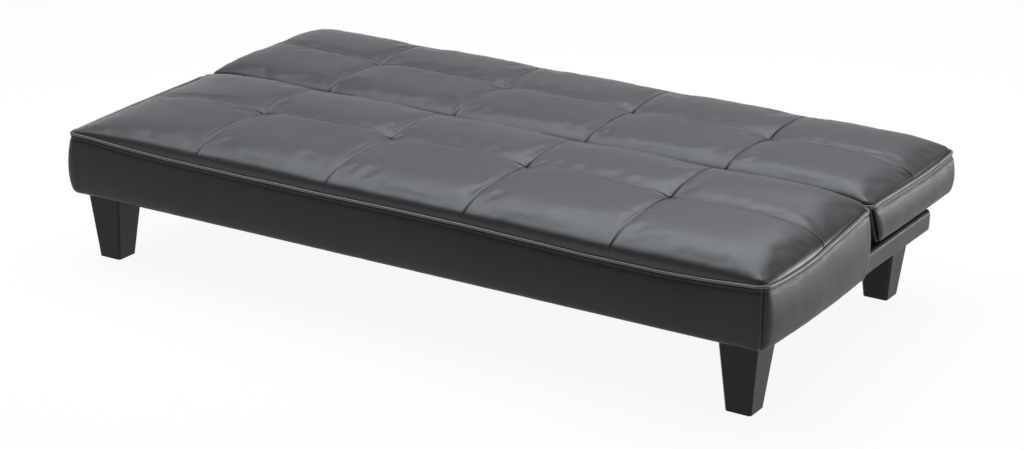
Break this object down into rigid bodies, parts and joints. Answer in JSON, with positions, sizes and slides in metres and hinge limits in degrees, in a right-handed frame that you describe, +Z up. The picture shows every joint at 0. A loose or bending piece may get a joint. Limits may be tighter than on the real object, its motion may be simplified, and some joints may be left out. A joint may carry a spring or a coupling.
{
  "type": "click clack sofa bed",
  "caption": "Armless click clack sofa bed shown flat: tufted black vinyl seat and folding backrest on ratchet hinges, low wooden base, tapered square legs.",
  "frame": {"origin": "centre of the footprint of the flat bed, on the floor under the legs", "axes": "+X along the length, to the right seen from the front; +Y to the back; +Z up"},
  "size_m": [1.694, 0.936, 0.3504],
  "materials": {
    "vinyl_top": "satin faux leather, fine grain, over foam",
    "vinyl_side": "satin faux leather, fine grain, over wadding",
    "piping": "satin faux leather wrapped round a cord",
    "frame_wood": "planed softwood",
    "hardboard": "pressed brown hardboard",
    "leg_lacquer": "black satin lacquer",
    "glide_plastic": "moulded",
    "bolt_steel": "zinc plated",
    "spring_steel": "drawn wire",
    "hinge_steel": "stamped and zinc plated",
    "lining_cloth": "black non-woven cloth"
  },
  "bodies": {
    "base": {"seat_pad": "vinyl_top", "seat_front_cover": "vinyl_side", "seat_right_cover": "vinyl_side", "seat_rear_cover": "vinyl_side", "seat_left_cover": "vinyl_side", "seat_piping": "piping", "base_left_rail": "frame_wood", "base_right_rail": "frame_wood", "base_front_rail": "frame_wood", "seat_rear_rail": "frame_wood", "sill_rear_rail": "frame_wood", "seat_centre_rail": "frame_wood", "front_left_block": "frame_wood", "front_right_block": "frame_wood", "rear_left_block": "frame_wood", "rear_right_block": "frame_wood", "front_left_leg": "leg_lacquer", "front_right_leg": "leg_lacquer", "rear_left_leg": "leg_lacquer", "rear_right_leg": "leg_lacquer", "front_left_bolt": "bolt_steel", "front_right_bolt": "bolt_steel", "rear_left_bolt": "bolt_steel", "rear_right_bolt": "bolt_steel", "front_left_glide": "glide_plastic", "front_right_glide": "glide_plastic", "rear_left_glide": "glide_plastic", "rear_right_glide": "glide_plastic", "dust_cover": "lining_cloth", "sill_right_cover": "vinyl_side", "sill_rear_cover": "vinyl_side", "sill_left_cover": "vinyl_side", "seat_spring_1": "spring_steel", "seat_spring_2": "spring_steel", "seat_spring_3": "spring_steel", "seat_spring_4": "spring_steel", "seat_spring_5": "spring_steel", "seat_spring_6": "spring_steel", "hinge_left_ratchet": "hinge_steel", "hinge_right_ratchet": "hinge_steel", "hinge_left_pivot": "bolt_steel", "hinge_right_pivot": "bolt_steel"},
    "backrest": {"backrest_pad": "vinyl_top", "backrest_front_cover": "vinyl_side", "backrest_right_cover": "vinyl_side", "backrest_rear_cover": "vinyl_side", "backrest_left_cover": "vinyl_side", "backrest_piping": "piping", "backrest_front_rail": "frame_wood", "backrest_rear_rail": "frame_wood", "backrest_centre_rail": "frame_wood", "backrest_left_rail": "frame_wood", "backrest_right_rail": "frame_wood", "backrest_board": "hardboard", "backrest_under_cover": "lining_cloth", "hinge_left_arm": "hinge_steel", "hinge_right_arm": "hinge_steel"},
    "left_pawl": {"hinge_left_pawl": "hinge_steel"},
    "right_pawl": {"hinge_right_pawl": "hinge_steel"}
  },
  "joints": [
    {"name": "backrest_fold", "type": "hinge", "parent": "base", "child": "backrest", "pos_m": [0, 0.083, 0.29], "axis": [1, 0, 0], "range_deg": [0, 90]},
    {"name": "left_pawl_pivot", "type": "hinge", "parent": "backrest", "child": "left_pawl", "pos_m": [-0.794, 0.125, 0.25], "axis": [1, 0, 0], "range_deg": [0, 7]},
    {"name": "right_pawl_pivot", "type": "hinge", "parent": "backrest", "child": "right_pawl", "pos_m": [0.794, 0.125, 0.25], "axis": [1, 0, 0], "range_deg": [0, 7]}
  ]
}
